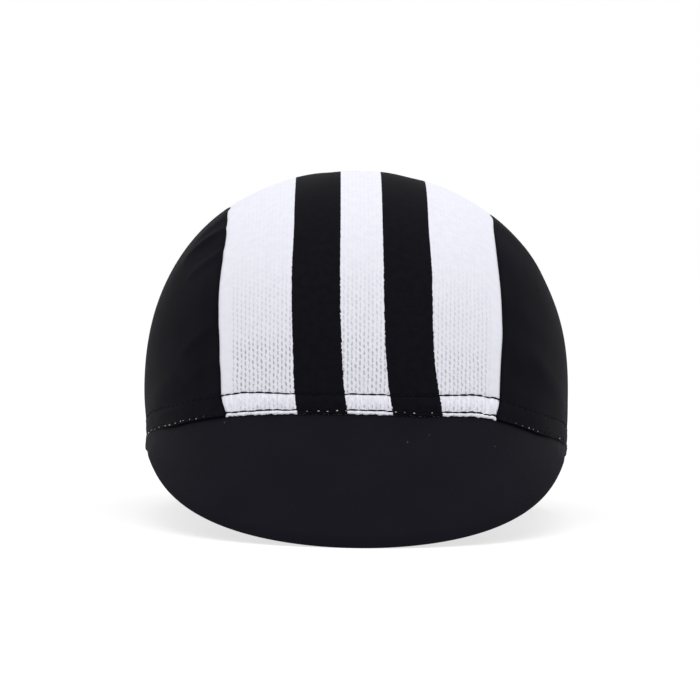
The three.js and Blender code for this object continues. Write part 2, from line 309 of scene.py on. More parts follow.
def dome_point(q):
    """A point of the unit half sphere, stretched to the crown's sizes."""
    z = CROWN_HEIGHT * np.maximum(q[..., 2], 0) ** (2 / DOME_POWER)
    depth = np.where(q[..., 1] < 0, RIM_FRONT, RIM_BACK)
    return stack(RIM_HALF_WIDTH * q[..., 0] + sway_at(z), depth * q[..., 1] + lean_at(z), z)


def dome_normal(p):
    x, y, z = p[..., 0] - sway_at(p[..., 2]), p[..., 1] - lean_at(p[..., 2]), p[..., 2]
    depth = np.where(y < 0, RIM_FRONT, RIM_BACK)
    slope_x = 2 * x / RIM_HALF_WIDTH**2
    slope_y = 2 * y / depth**2
    rise = DOME_POWER / CROWN_HEIGHT * (z / CROWN_HEIGHT) ** (DOME_POWER - 1)
    tilt = LEAN_POWER / CROWN_HEIGHT * (z / CROWN_HEIGHT) ** (LEAN_POWER - 1)
    n = stack(slope_x, slope_y, rise - tilt * (slope_x * CROWN_SWAY + slope_y * CROWN_LEAN))
    return n / lengths(n)


def sphere_point(x, angle):
    k = np.sqrt(1 - x * x)
    return stack(x, -k * np.cos(angle), k * np.sin(angle))


def middle_line():
    """Angles over the crown's middle line, and the length of cloth from the front rim to each."""
    angles = np.linspace(0, math.pi, LINE_SAMPLES)
    points = dome_point(sphere_point(np.zeros_like(angles), angles))
    steps = lengths(np.diff(points, axis=0))[:, 0]
    return angles, np.concatenate([[0], np.cumsum(steps)])


LINE_ANGLES, LINE_LENGTHS = middle_line()
LINE_LENGTH = LINE_LENGTHS[-1]


def angle_at(along):
    return np.interp(along * LINE_LENGTH, LINE_LENGTHS, LINE_ANGLES)


def seam_x(side, along):
    """The seam's x on one side, by the share of the way from the front rim to the back rim."""
    knots = SEAM_LINE["along"]
    low = np.clip(np.searchsorted(knots, along, side="left") - 1, 0, len(knots) - 2)
    share = smooth(along, np.take(knots, low), np.take(knots, low + 1))
    width = mix(np.take(SEAM_LINE["width"], low), np.take(SEAM_LINE["width"], low + 1), share)
    drift = mix(np.take(SEAM_LINE["drift"], low), np.take(SEAM_LINE["drift"], low + 1), share)
    return PANEL_HALF_WIDTH * (drift + side * width)


def rim_lengths():
    """Turns round the rim from the front, and the length of rim from the front to each."""
    turns = np.linspace(-math.pi, math.pi, RIM_SAMPLES)
    points = dome_point(stack(np.sin(turns), -np.cos(turns), 0 * turns))
    steps = lengths(np.diff(points, axis=0))[:, 0]
    run = np.concatenate([[0], np.cumsum(steps)])
    return turns, run - run[len(run) // 2]


RIM_TURNS, RIM_RUN = rim_lengths()


# Relief of the cloth


def back_relief(p):
    x, y, z = p[..., 0], p[..., 1], p[..., 2]
    half = seam_x(1, 1) - GATHER_MARGIN
    across = np.abs(x) / half
    tuck = BACK_TUCK * (1 - smooth(across, TUCK_FULL, TUCK_END))
    gather = GATHER_DEPTH * np.cos(math.pi * GATHER_COUNT * x / half) * (1 - smooth(across, GATHER_FULL, 1))
    return np.where(y > 0, (gather - tuck) * bell(z / GATHER_FADE), 0)


def fold_relief(p, fold):
    per_degree = math.radians(RIM_HALF_WIDTH)
    turn = np.degrees(np.arctan2(fold["side"] * p[..., 0], -p[..., 1]))
    start = np.array([fold["turn"] * per_degree, fold["height"] * CROWN_HEIGHT])
    along = np.array([fold["to_turn"] * per_degree, fold["to_height"] * CROWN_HEIGHT]) - start
    away = np.stack([turn * per_degree, p[..., 2]], -1) - start
    share = np.clip(away @ along / (along @ along), 0, 1)
    distance = lengths(away - share[..., None] * along)[..., 0]
    strength = np.sin(math.pi * mix(FOLD_ENDS, 1 - FOLD_ENDS, share))
    return FOLD_DEPTH * fold["depth"] * bell(distance / (FOLD_WIDTH * fold["width"])) * strength


def relief(p):
    total = CROWN_BULGE * np.sin(math.pi * p[..., 2] / CROWN_HEIGHT) + back_relief(p)
    for fold in FOLDS:
        total = total + fold_relief(p, fold)
    return total


def upper_row(p):
    """How high the upper row of stitches runs."""
    place, width, height = UPPER_ROW_WAVE
    wave = np.where(p[..., 1] < 0, height * bell((p[..., 0] - place) / width), 0)
    return mix(UPPER_ROW, UPPER_ROW_SIDE, smooth(np.abs(p[..., 0]), UPPER_ROW_FROM, UPPER_ROW_TO)) + wave


def ripple(run, *waves):
    """An uneven wave along the hem, from rows of wave length, height and phase."""
    return sum(height * np.sin(2 * math.pi * run / length + phase) for length, height, phase in waves)


def ear_tuck(p):
    """How far the hem turns in at the ears."""
    depth = np.where(p[..., 0] < 0, EAR_TUCK[-1], EAR_TUCK[1])
    return depth * smooth(np.abs(p[..., 0]), EAR_INNER, RIM_HALF_WIDTH) * bell(p[..., 2] / EAR_HEIGHT)


def pleats(p, run):
    """The pleats of the elastic back hem."""
    reach = 1 - smooth(np.abs(p[..., 0]), PLEAT_INNER, PLEAT_OUTER)
    return np.where(p[..., 1] > 0, ripple(run, *PLEATS) * reach * bell(p[..., 2] / PLEAT_HEIGHT), 0)


def hem_relief(p, run, rumple):
    """The two rows of stitches pull the hem in, and the cloth puffs between them and in the lip below."""
    z = p[..., 2]
    top = upper_row(p)
    pull = ROW_PULL + ROW_PULL_SWING * rumple * np.cos(2 * math.pi * run / STITCH_PITCH)
    near_rows = bell((z - LOWER_ROW) / ROW_WIDTH) + bell((z - top) / ROW_WIDTH)
    rows = ROW_DEPTH * pull * mix(ROW_SMOOTH_SHARE, 1, rumple) * near_rows
    between = np.sin(math.pi * np.clip((z - LOWER_ROW) / (top - LOWER_ROW), 0, 1))
    crinkle = rumple * ripple(run, *HEM_CRINKLE)
    beads = 1 - LIP_PINCH * pull * rumple + ripple(run, *LIP_WAVES) + rumple * ripple(run, *LIP_BEADS)
    lip = LIP_PUFF * beads * bell((z - LIP_HEIGHT) / LIP_WIDTH)
    return between * (HEM_PUFF + crinkle) + lip - rows


def cloth_unevenness(p, run):
    """Slow waves, a few tenths deep, that keep the cloth from looking like a moulded shell."""
    z = p[..., 2]
    broad, fine = UNEVEN_BROAD, UNEVEN_FINE
    swell = np.sin(run / broad["run"] + broad["slant"] * z) * np.sin(z / broad["height"] + broad["phase"])
    swell = swell + fine["share"] * np.sin(run / fine["run"] - z / fine["height"] + fine["phase"])
    return UNEVEN_DEPTH * swell * smooth(z, UNEVEN_FROM, UNEVEN_TO)


def skew(x, y):
    """How far the hem runs above its plane: up on one side, down on the other, and level at the back."""
    slope = -HEM_SKEW * (x / RIM_HALF_WIDTH) ** SKEW_POWER * bell(np.maximum(y, 0) / SKEW_BACK_FADE)
    waves = sum(height * bell((x - place) / width) for place, width, height in HEM_WAVES)
    ears = EAR_LIFT * smooth(np.abs(x), EAR_INNER, RIM_HALF_WIDTH) * bell(np.maximum(y, 0) / EAR_BACK)
    return slope + waves * smooth(-y, 0, WAVE_FADE) + ears


def settle(p):
    """Skews the hem, and lets its back down on to the surface that the cap stands on."""
    p[..., 2] += skew(p[..., 0], p[..., 1]) * bell(p[..., 2] / SKEW_HEIGHT_FADE)
    drop = (HEEL[1] - p[..., 1]) * math.tan(REST_TILT)
    reach = 1 - smooth(np.abs(p[..., 0]), REST_HALF_WIDTH, REST_HALF_WIDTH + REST_BLEND)
    fade = np.clip(1 - p[..., 2] / REST_FADE, 0, 1) ** 2
    p[..., 2] -= np.where(p[..., 1] > 0, drop * reach * fade, 0)
    return p


def run_of(q):
    """How far round the rim a point of the unit sphere is, in length of rim from the front."""
    return np.interp(np.arctan2(q[..., 0], -q[..., 1]), RIM_TURNS, RIM_RUN)


def cloth(q, under=0.0, seam_distance=None, rumple=1.0):
    """Crown points at a depth under the outer face, with fine relief where the seam's distance is given."""
    p = dome_point(q)
    height = relief(p) - ear_tuck(p) - under
    if seam_distance is not None:
        run = run_of(q)
        height = height + hem_relief(p, run, rumple) + pleats(p, run) + cloth_unevenness(p, run)
        depth = mix(SEAM_DEPTH, SEAM_DEPTH_TOP, smooth(p[..., 2], SEAM_TOP_FROM, SEAM_TOP_TO))
        height = height - depth * bell(seam_distance / SEAM_WIDTH)
    return settle(p + dome_normal(p) * height[..., None])


# Peak's faces


def peak_rails(turn, shares, edge_steps, edge_roll=0.0):
    """The peak's upper and lower faces at turns round the rim, from the root to the edge."""
    turn = turn[:, None]
    fullness = np.maximum(1 - (np.abs(turn) / PEAK_HALF_TURN) ** PEAK_TAPER_TURN, 0) ** PEAK_TAPER_WIDTH
    tail = smooth(PEAK_HALF_TURN - np.abs(turn), 0, PEAK_TAIL_TURN)
    length = mix(PEAK_END_LENGTH * mix(PEAK_TAIL_LENGTH, 1, tail), PEAK_LENGTH, fullness)
    droop = mix(PEAK_DROOP_FRONT, PEAK_DROOP_SIDE, np.sin(turn) ** 2)
    droop = droop + PEAK_TAIL_DROOP * smooth(np.abs(turn), PEAK_DROOP_FROM, PEAK_DROOP_TO)
    end_thickness = PEAK_END_THICKNESS * mix(PEAK_TAIL_THICKNESS, 1, tail)
    half = mix(end_thickness, PEAK_THICKNESS, np.sqrt(fullness)) / 2
    flat = length - half
    angles = np.linspace(0, math.pi / 2, edge_steps + 1)[1:][None]
    distance = np.concatenate([flat * shares[None], flat + half * np.sin(angles)], 1)
    spread = np.concatenate([half + 0 * shares[None], half * np.cos(angles)], 1)
    across = distance / length
    camber = PEAK_CAMBER * (length / PEAK_LENGTH) * 4 * across * (1 - across)
    roll = edge_roll * fullness * smooth(distance, length - PEAK_EDGE_WIDTH, length) ** 2 * spread / half
    rim = stack(RIM_HALF_WIDTH * np.sin(turn), -RIM_FRONT * np.cos(turn), 0)
    out = dome_normal(rim)
    up = np.array([0, 0, 1.0])
    along = out * np.cos(droop)[..., None] - up * np.sin(droop)[..., None]
    lift = out * np.sin(droop)[..., None] + up * np.cos(droop)[..., None]
    root = rim - out * PEAK_INSET - up * PEAK_GAP
    middle = root + along * distance[..., None] + lift * (camber - half)[..., None]
    middle[..., 2] += skew(rim[..., 0], rim[..., 1]) * (1 - across) ** 2 + PEAK_TAIL_RISE * (1 - tail)
    face = middle + lift * (spread - roll)[..., None]
    back = middle - lift * spread[..., None]
    return face, back, distance


# Placing


def coarse_peak_back():
    """The peak's lower face, in the few points that the cap is placed by."""
    turns = np.linspace(-PEAK_HALF_TURN, PEAK_HALF_TURN, PEAK_SAMPLES["turns"])
    _, back, _ = peak_rails(turns, np.linspace(0, 1, PEAK_SAMPLES["shares"]), PEAK_SAMPLES["edge"])
    return back


def rest_tilt():
    """How far the cap tilts to rest on its back hem and its peak."""
    back = coarse_peak_back()
    return float(np.max(np.arctan2(HEEL[2] - back[..., 2], HEEL[1] - back[..., 1])))


HEEL_DOME = dome_point(np.array([[0, 1.0, 0]]))
HEEL = (HEEL_DOME + dome_normal(HEEL_DOME) * relief(HEEL_DOME)[..., None])[0]
REST_TILT = rest_tilt()


def tilted(p):
    """Rim frame to the resting frame, before the shift to the cap's own origin."""
    c, s = math.cos(REST_TILT), math.sin(REST_TILT)
    y, z = p[..., 1], p[..., 2]
    return stack(p[..., 0], c * y + s * z, c * z - s * y)


def find_shift():
    """Puts the middle of the tilted cap's plan over the origin, and its lowest point on the floor."""
    across, over = CROWN_SAMPLES
    crown = cloth(sphere_point(*np.meshgrid(np.linspace(-1, 1, across), np.linspace(0, math.pi, over))))
    points = tilted(np.concatenate([crown.reshape(-1, 3), coarse_peak_back().reshape(-1, 3)]))
    low, high = points.min(0), points.max(0)
    return np.array([-(low[0] + high[0]) / 2, -(low[1] + high[1]) / 2, -low[2]])


SHIFT = find_shift()


def placed(p):
    return (tilted(p) + SHIFT) * MM


# Meshes


def graded(length, fine, coarse, margin):
    """Shares from 0 to 1 of a length, closely spaced near both ends."""
    ends = np.arange(0, margin, fine)
    count = max(int(round((length - 2 * margin) / coarse)), 1)
    middle = np.linspace(margin, length - margin, count + 1)
    return np.concatenate([ends, middle, (length - ends)[::-1]]) / length


def lofted(name, face, back, is_ring=False, **channels):
    """A closed mesh swept through sections of two rails. Channels are values for each point of the face."""
    sections, rail = face.shape[:2]
    loop = 2 * rail
    points = np.concatenate([face, back[:, ::-1]], 1).reshape(-1, 3)
    spans = sections if is_ring else sections - 1
    i = np.arange(spans)[:, None] * loop
    j = (np.arange(1, spans + 1) % sections)[:, None] * loop
    k = np.arange(loop)[None]
    k2 = (k + 1) % loop
    quads = [np.stack([i + k, j + k, j + k2, i + k2], -1).reshape(-1, 4)]
    if not is_ring:
        a = np.arange(rail - 1)
        b = loop - 1 - a
        last = (sections - 1) * loop
        quads.append(np.stack([a, a + 1, b - 1, b], -1))
        quads.append(last + np.stack([a, b, b - 1, a + 1], -1))
    quads = np.concatenate(quads)
    mesh = bpy.data.meshes.new(name)
    mesh.from_pydata(placed(points).tolist(), [], quads.tolist())
    inside = np.concatenate([np.zeros((sections, rail)), np.ones((sections, rail))], 1)
    channels["inside"] = inside
    for key, values in channels.items():
        if values.shape[1] == rail:
            values = np.concatenate([values, values[:, ::-1]], 1)
        layer = mesh.attributes.new(key, "FLOAT", "POINT")
        layer.data.foreach_set("value", values.reshape(-1).astype(np.float32))
    return finished(name, mesh)


def finished(name, mesh):
    """Merges points that fall together, turns the faces outwards and shades them smooth."""
    work = bmesh.new()
    work.from_mesh(mesh)
    bmesh.ops.remove_doubles(work, verts=work.verts, dist=MERGE_DISTANCE)
    bmesh.ops.dissolve_degenerate(work, edges=work.edges, dist=MERGE_DISTANCE)
    bmesh.ops.recalc_face_normals(work, faces=work.faces)
    work.to_mesh(mesh)
    work.free()
    mesh.shade_smooth()
    piece = bpy.data.objects.new(name, mesh)
    bpy.context.scene.collection.objects.link(piece)
    return piece


def rounded_rim(outer, inner, depth):
    """Outer and inner points of a half round that joins the cloth's two faces, from its bottom up."""
    middle, half = (outer + inner) / 2, (outer - inner) / 2
    down = np.array([0, 0, -1.0])
    sides = []
    for sign in (1, -1):
        points = [middle + sign * half * math.cos(a) + down * depth * math.sin(a) for a in ROUND_ANGLES]
        sides.append(np.concatenate(points, 1))
    return sides


def padded(values, both_ends=True):
    """Repeats a channel's first values, and its last ones, for the points of the rounded rims."""
    first = [values[:, :1]] * len(ROUND_ANGLES)
    last = [values[:, -1:]] * len(ROUND_ANGLES)
    return np.concatenate(first + [values] + (last if both_ends else []), 1)


def hole_shade_strength(x, z, over_hem):
    """Painted shade in the mesh's holes: darkest over the hem, fading upwards to the light, fainter on
    doubled cloth.
    """
    side = x / PANEL_HALF_WIDTH
    low = np.interp(side, EYELETS["side"], EYELETS["strength"])
    fade_at = np.interp(side, EYELETS["side"], EYELETS["fade_at"])
    high = np.interp(side, EYELETS["side"], EYELETS["over"])
    upward = mix(low, low * high, smooth(z, fade_at, fade_at + EYELET_FADE))
    upward = upward * mix(1, EYELET_TOP, smooth(z, EYELET_TOP_FROM, EYELET_TOP_TO))
    ticks = HEM_TICKS * bell((z - HEM_TICK_HEIGHT) / HEM_TICK_WIDTH)
    return mix(HEM_HOLE_SHADE + ticks, upward, over_hem)


def printed_x(x, z, is_front):
    """Where a point lies across the printed stripes, which swing to one side and spread towards the hem."""
    drift = STRIPE_DRIFT + np.where(is_front, STRIPE_SWING * np.exp(-z / STRIPE_SWING_FADE), 0)
    spread = 1 + STRIPE_SPREAD * (1 - smooth(z, 0, STRIPE_SPREAD_FADE))
    spread = spread - STRIPE_PINCH * smooth(z, STRIPE_PINCH_FROM, STRIPE_PINCH_TO)
    return (x - drift) / spread


def centre_channels(x, along, p, seam_distance):
    """The values that the mesh's material is drawn by."""
    z = p[..., 2]
    over_hem = smooth(z, upper_row(p) - HEM_EDGE_UNDER, upper_row(p) + HEM_EDGE_OVER)
    allowance_from = SEAM_ALLOWANCE - SEAM_ALLOWANCE_BLEND
    allowance_to = SEAM_ALLOWANCE + SEAM_ALLOWANCE_BLEND
    clear_of_seam = smooth(seam_distance, allowance_from, allowance_to)
    return {
        "cloth_u": x,
        "cloth_v": np.broadcast_to(along * LINE_LENGTH, z.shape),
        "print_x": printed_x(x, z, np.broadcast_to(along < FRONT_HALF, z.shape)),
        "hole_shade": hole_shade_strength(x, z, over_hem) * clear_of_seam,
        "doubled": 1 - over_hem,
        "waled": over_hem * clear_of_seam * (1 - smooth(z, EYELET_TOP_FROM, EYELET_TOP_TO)),
        "height": z,
    }


def centre_panel():
    along = graded(LINE_LENGTH, **CENTRE_ALONG)
    across = graded(2 * PANEL_HALF_WIDTH, **CENTRE_ACROSS)
    right = seam_x(-1, along)[None] + SEAM_CLEARANCE
    left = seam_x(1, along)[None] - SEAM_CLEARANCE
    x = mix(right, left, across[:, None])
    q = sphere_point(x / RIM_HALF_WIDTH, angle_at(along)[None])
    seam_distance = np.minimum(x - right, left - x)
    outer = cloth(q, 0, seam_distance)
    inner = cloth(q, CLOTH)
    uneven = 1 + ripple(run_of(q[:, :1])[..., None], *LIP_ROUND_WAVES)
    front_outer, front_inner = rounded_rim(outer[:, :1], inner[:, :1], LIP_ROUND["front"] * uneven)
    rear_outer, rear_inner = rounded_rim(outer[:, -1:], inner[:, -1:], LIP_ROUND["back"])
    face = np.concatenate([front_outer, outer, rear_outer[:, ::-1]], 1)
    back = np.concatenate([front_inner, inner, rear_inner[:, ::-1]], 1)
    channels = centre_channels(x, along[None], dome_point(q), seam_distance)
    channels = {key: padded(values) for key, values in channels.items()}
    return lofted("crown_centre_cloth", face, back, **channels)


def side_panel(side, name):
    along = graded(LINE_LENGTH, **SIDE_ALONG)
    seam = sphere_point((seam_x(side, along) + side * SEAM_CLEARANCE) / RIM_HALF_WIDTH, angle_at(along))
    first_turn, last_turn = (math.atan2(side * q[0], -q[1]) for q in (seam[0], seam[-1]))
    turn = mix(first_turn, last_turn, along)
    rim = stack(side * np.sin(turn), -np.cos(turn), 0 * turn)
    climb = graded(SIDE_CLIMB_LENGTH, **SIDE_CLIMB)
    chord = mix(rim[:, None], seam[:, None], (climb ** (DOME_POWER / 2))[None, :, None])
    q = chord / lengths(chord)
    seam_distance = (1 - climb)[None] * lengths(dome_point(seam) - dome_point(rim))
    outer = cloth(q, 0, seam_distance, SIDE_RUMPLE)
    inner = cloth(q, CLOTH)
    rim_outer, rim_inner = rounded_rim(outer[:, :1], inner[:, :1], LIP_ROUND["side"])
    face = np.concatenate([rim_outer, outer], 1)
    back = np.concatenate([rim_inner, inner], 1)
    height = padded(dome_point(q)[..., 2], both_ends=False)
    channels = {"cloth_u": padded(run_of(q), both_ends=False), "cloth_v": height, "height": height}
    return lofted(name, face, back, **channels)


def ring_point(turn, z):
    """The unit sphere's point at a turn round the rim and a height over it."""
    rise = (z / CROWN_HEIGHT) ** (DOME_POWER / 2)
    k = np.sqrt(1 - rise * rise)
    return stack(k * np.sin(turn), -k * np.cos(turn), rise)


def sweatband():
    turns = np.linspace(-math.pi, math.pi, BAND_SECTIONS + 1)[:-1, None]
    heights = np.linspace(0, BAND_HEIGHT, BAND_STEPS)[None]
    q = ring_point(turns, heights)
    under = CLOTH + BAND_GAP
    bow = BAND_BOW * np.sin(math.pi * heights / BAND_HEIGHT)
    face = cloth(q, under)
    back = cloth(q, under + BAND_CLOTH + bow)
    grid = q.shape[:2]
    run = np.interp(turns, RIM_TURNS, RIM_RUN)
    channels = {"cloth_u": np.broadcast_to(run, grid), "cloth_v": np.broadcast_to(heights, grid)}
    return lofted("sweatband_cloth", face, back, is_ring=True, **channels)


def peak():
    turns = np.linspace(-PEAK_HALF_TURN, PEAK_HALF_TURN, PEAK_SECTIONS)
    shares = graded(PEAK_LENGTH, **PEAK_ALONG)
    face, back, distance = peak_rails(turns, shares, PEAK_EDGE_STEPS, PEAK_EDGE_ROLL)
    run = np.interp(turns, RIM_TURNS, RIM_RUN)
    channels = {"cloth_u": np.broadcast_to(run[:, None], distance.shape), "cloth_v": distance}
    return lofted("peak_cloth", face, back, **channels)


def thread_points(start, end, height_of, radius, lift, bow):
    """Points of one thread's sides, each side from end to end."""
    steps = len(THREAD_PROFILE)
    turn = np.interp(np.linspace(start, end, steps), RIM_RUN, RIM_TURNS)
    rim = dome_point(stack(np.sin(turn), -np.cos(turn), 0 * turn))
    q = ring_point(turn, height_of(rim) * np.ones(steps))
    share = np.linspace(0, 1, steps)
    line = cloth(q, -lift - bow * np.sin(math.pi * share), np.full(steps, FAR_FROM_SEAM))
    out = dome_normal(dome_point(q))
    up = np.array([0, 0, 1.0])
    size = radius * np.array(THREAD_PROFILE)[:, None]
    angles = [2 * math.pi * side / THREAD_SIDES for side in range(THREAD_SIDES)]
    return [line + size * (out * math.cos(angle) + up * math.sin(angle)) for angle in angles]


def thread_faces(base):
    """Faces of one thread whose points start at a number."""
    steps = len(THREAD_PROFILE)
    sides = [base + side * steps for side in range(THREAD_SIDES)]
    pairs = list(zip(sides, sides[1:] + sides[:1]))
    faces = [[a + s, b + s, b + s + 1, a + s + 1] for a, b in pairs for s in range(steps - 1)]
    return faces + [sides[::-1], [side + steps - 1 for side in sides]]


def threads(name, starts, ends, heights, radii, lift, bow):
    """Short threads that follow the hem, from run to run round the rim, joined in one mesh."""
    points, faces = [], []
    size = THREAD_SIDES * len(THREAD_PROFILE)
    for number, (start, end, height_of, radius) in enumerate(zip(starts, ends, heights, radii)):
        points += thread_points(start, end, height_of, radius, lift, bow)
        faces += thread_faces(number * size)
    mesh = bpy.data.meshes.new(name)
    mesh.from_pydata(placed(np.concatenate(points)).tolist(), [], faces)
    return finished(name, mesh)


def stitch_row(name, row_height):
    """A whole row of stitches round the hem, a little uneven, as a machine sews them on stretch cloth."""
    random = np.random.default_rng(STITCH_SEED)
    total = RIM_RUN[-1] - RIM_RUN[0]
    count = int(total / STITCH_PITCH)
    starts = RIM_RUN[0] + total * np.arange(count) / count + random.normal(0, STITCH_START_JITTER, count)
    ends = starts + STITCH_LENGTH + random.normal(0, STITCH_LENGTH_JITTER, count)
    wobble = random.normal(0, STITCH_HEIGHT_JITTER, count)
    radii = THREAD_RADIUS * random.uniform(*THREAD_RADII, count)
    heights = [lambda rim, more=more: row_height(rim) + more for more in wobble]
    return threads(name, starts, ends, heights, radii, STITCH_LIFT, STITCH_BOW)


def needle_specks():
    """Pale base cloth that shows at the needle holes where the hem is black."""
    random = np.random.default_rng(SPECK_SEED)
    starts = np.arange(-SPECK_REACH, SPECK_REACH, STITCH_PITCH) + SPECK_OFFSET
    x = RIM_HALF_WIDTH * np.sin(np.interp(starts, RIM_RUN, RIM_TURNS))
    stripe_x = np.abs(x - STRIPE_DRIFT - STRIPE_SWING)
    clear_of_inner = stripe_x > STRIPE_INNER + SPECK_STRIPE_MARGIN
    on_stripe = clear_of_inner & (stripe_x < STRIPE_OUTER - SPECK_STRIPE_MARGIN)
    chance = np.where(on_stripe, SPECK_CHANCE["stripe"], 0)
    chance = np.where(x < seam_x(-1, 0) - SPECK_SEAM_MARGIN, SPECK_CHANCE["right"], chance)
    chance = np.where(x > seam_x(1, 0) + SPECK_SEAM_MARGIN, SPECK_CHANCE["left"], chance)
    keep = random.random(len(starts)) < chance
    starts = starts[keep] + random.normal(0, SPECK_JITTER, keep.sum())
    drawn = SPECK_HEIGHT * random.uniform(*SPECK_HEIGHTS, len(starts))
    ends = starts + random.uniform(*SPECK_WIDTHS, len(starts))
    radii = random.uniform(*SPECK_RADII, len(starts)) * np.where(on_stripe[keep], SPECK_ON_STRIPE, 1)
    heights = [lambda rim, height=height: height for height in drawn]
    return threads("needle_specks", starts, ends, heights, radii, SPECK_LIFT, 0.0)


# Materials


# Colours: a grey value, and the shares of red, green and blue in it
COLOURS = {
    "mesh_dim": (0.68, 0.985, 0.98, 1.085),
    "mesh_light": (0.71, 0.985, 0.985, 1.075),
    "mesh_doubled": (0.79, 0.985, 0.98, 1.085),
    # painted highlight on the hem's lip
    "mesh_lip_highlight": (0.86, 0.985, 0.98, 1.08),
    # painted shade in the mesh's holes
    "mesh_hole_shade": (0.16, 0.93, 0.92, 1.05),
    "mesh_wale": (0.4, 0.95, 0.94, 1.05),
    # painted shade in the hem's creases
    "mesh_crease_shade": (0.3, 0.93, 0.92, 1.05),
    "print_dark": (0.0034, 1.0, 0.95, 1.55),
    "print_light": (0.0044, 1.0, 0.95, 1.55),
    "jersey_dark": (0.0037, 1.0, 0.95, 1.55),
    "jersey_light": (0.0051, 1.0, 0.95, 1.55),
    "cover_dark": (0.0051, 1.0, 0.95, 1.55),
    "cover_light": (0.0059, 1.0, 0.95, 1.55),
    "cover_tick": (0.09, 1.0, 1.0, 1.0),
    "band_dark": (0.009, 1.0, 1.0, 1.0),
    "band_light": (0.012, 1.0, 1.0, 1.0),
    "thread_dark": (0.0034, 1.0, 0.95, 1.5),
    "thread_light": (0.0046, 1.0, 0.95, 1.5),
    "base_dim": (0.2, 1.0, 1.0, 1.0),
    "base_light": (0.65, 1.0, 1.0, 1.0),
    "floor_dim": (0.3, 1.0, 1.0, 1.0),
    "floor_light": (0.31, 1.0, 1.0, 1.0),
}

# Surfaces: roughness, specular level and sheen, with the bump's height in metres and its strength
SURFACES = {
    "white_mesh": {"roughness": 0.85, "specular": 0.05, "sheen": 0.01, "bump": 0.00022, "strength": 0.8},
    "black_jersey": {"roughness": 0.7, "specular": 0.03, "sheen": 0.0, "bump": 0.00007, "strength": 0.7},
    "black_peak_cloth": {"roughness": 0.75, "specular": 0.04, "sheen": 0.0, "bump": 0.00008, "strength": 0.7},
    "band_cloth": {"roughness": 0.85, "specular": 0.12, "sheen": 0.08, "bump": 0.0001, "strength": 0.8},
    "thread": {"roughness": 0.8, "specular": 0.04, "sheen": 0.0, "bump": 0.00004, "strength": 0.6},
    "studio_floor": {"roughness": 0.9, "specular": 0.0, "sheen": 0.0, "bump": 0.00002, "strength": 0.2},
}
SHEEN_ROUGHNESS = 0.4
PATCH_RANGE = (0.3, 0.7)  # the middle stretch of a noise, which is spread out into patches

# Eyelets: slots in staggered columns, drawn as painted shade with a sunken bump, with lengths in millimetres
EYELET_PITCH = 1.48
EYELET_ROW_PITCH = 2.4
EYELET_STAGGER = 0.5
EYELET_HALF_WIDTH = 0.28
EYELET_HALF_LENGTH = 0.95
EYELET_SLANT = 0.08
EYELET_RIM = (0.35, 1.6)
EYELET_SHADE = 0.62
EYELET_PATCHES = {"scale": 0.8, "low": 0.35, "high": 0.6, "least": 0.4}
COLUMN_WOBBLE = {"scale": 0.11, "reach": 0.9}
COLUMN_JITTER = {"scale": 0.55, "reach": 0.6}

# The print's edge steps from course to course of the knit, and calms down over the crown's top
COURSE_PITCH = 0.8
PRINT_EDGE_SCALE = 1.7
PRINT_EDGE_STRETCH = 0.25
PRINT_EDGE_BLUR = 0.12
PRINT_INSIDE = 0.12  # how much of the print shows through inside
INSIDE_RANGE = (0.2, 0.8)
CALM_FROM = 30.0
CALM_TO = 75.0
CALM_SHARE = 0.3

# Ribs, wales and creases of the mesh, with painted shade in the creases
RIB_TURN = 4 * math.pi  # two ribs in a column
RIB_SCALE = 0.9
RIB_DEPTHS = (0.02, 0.06)
MOTTLE_SCALE = 0.35
MOTTLE_DETAIL = 4.0
WALE_WIDTH = 0.34
WALE_SHADE = 0.045
LIP_HIGHLIGHT = (0.25, 0.65)  # heights between which the painted highlight on the lip ends
CREASE_STRETCH = 0.16
CREASE_SCALE = 1.15
CREASE_RANGE = (0.4, 0.66)
CREASE_SHADE = 0.14

# Knit of the black cloths
KNIT_ROW_SHARE = 0.8
KNIT_DEPTH = 0.35
KNIT_GRAIN = 2.2
JERSEY_PITCH = 0.55
JERSEY_PATCHES = 0.06
COVER_PITCH = 0.7
COVER_PATCHES = 0.05
BROAD_DETAIL = 3.0

# Pale ticks on the peak's cover
TICK_SPACING = (8.5, 13.0)
TICK_RIM = (0.02, 0.05)
TICK_CHANCE = (0.45, 0.55)
TICK_STRENGTH = 0.5

# Band, threads and floor
BAND_RIB_PITCH = 1.1
BAND_RIB_DEPTH = 0.4
BAND_PATCHES = 0.2
BAND_GRAIN = 2.0
THREAD_GRAIN = 900.0
THREAD_PATCH_RANGE = (0.35, 0.65)
FLOOR_PATCHES = 6.0
FLOOR_GRAIN = 300.0
FLOOR_GLOW = 0.7


def colour(name):
    value, red, green, blue = COLOURS[name]
    return (value * red, value * green, value * blue, 1.0)


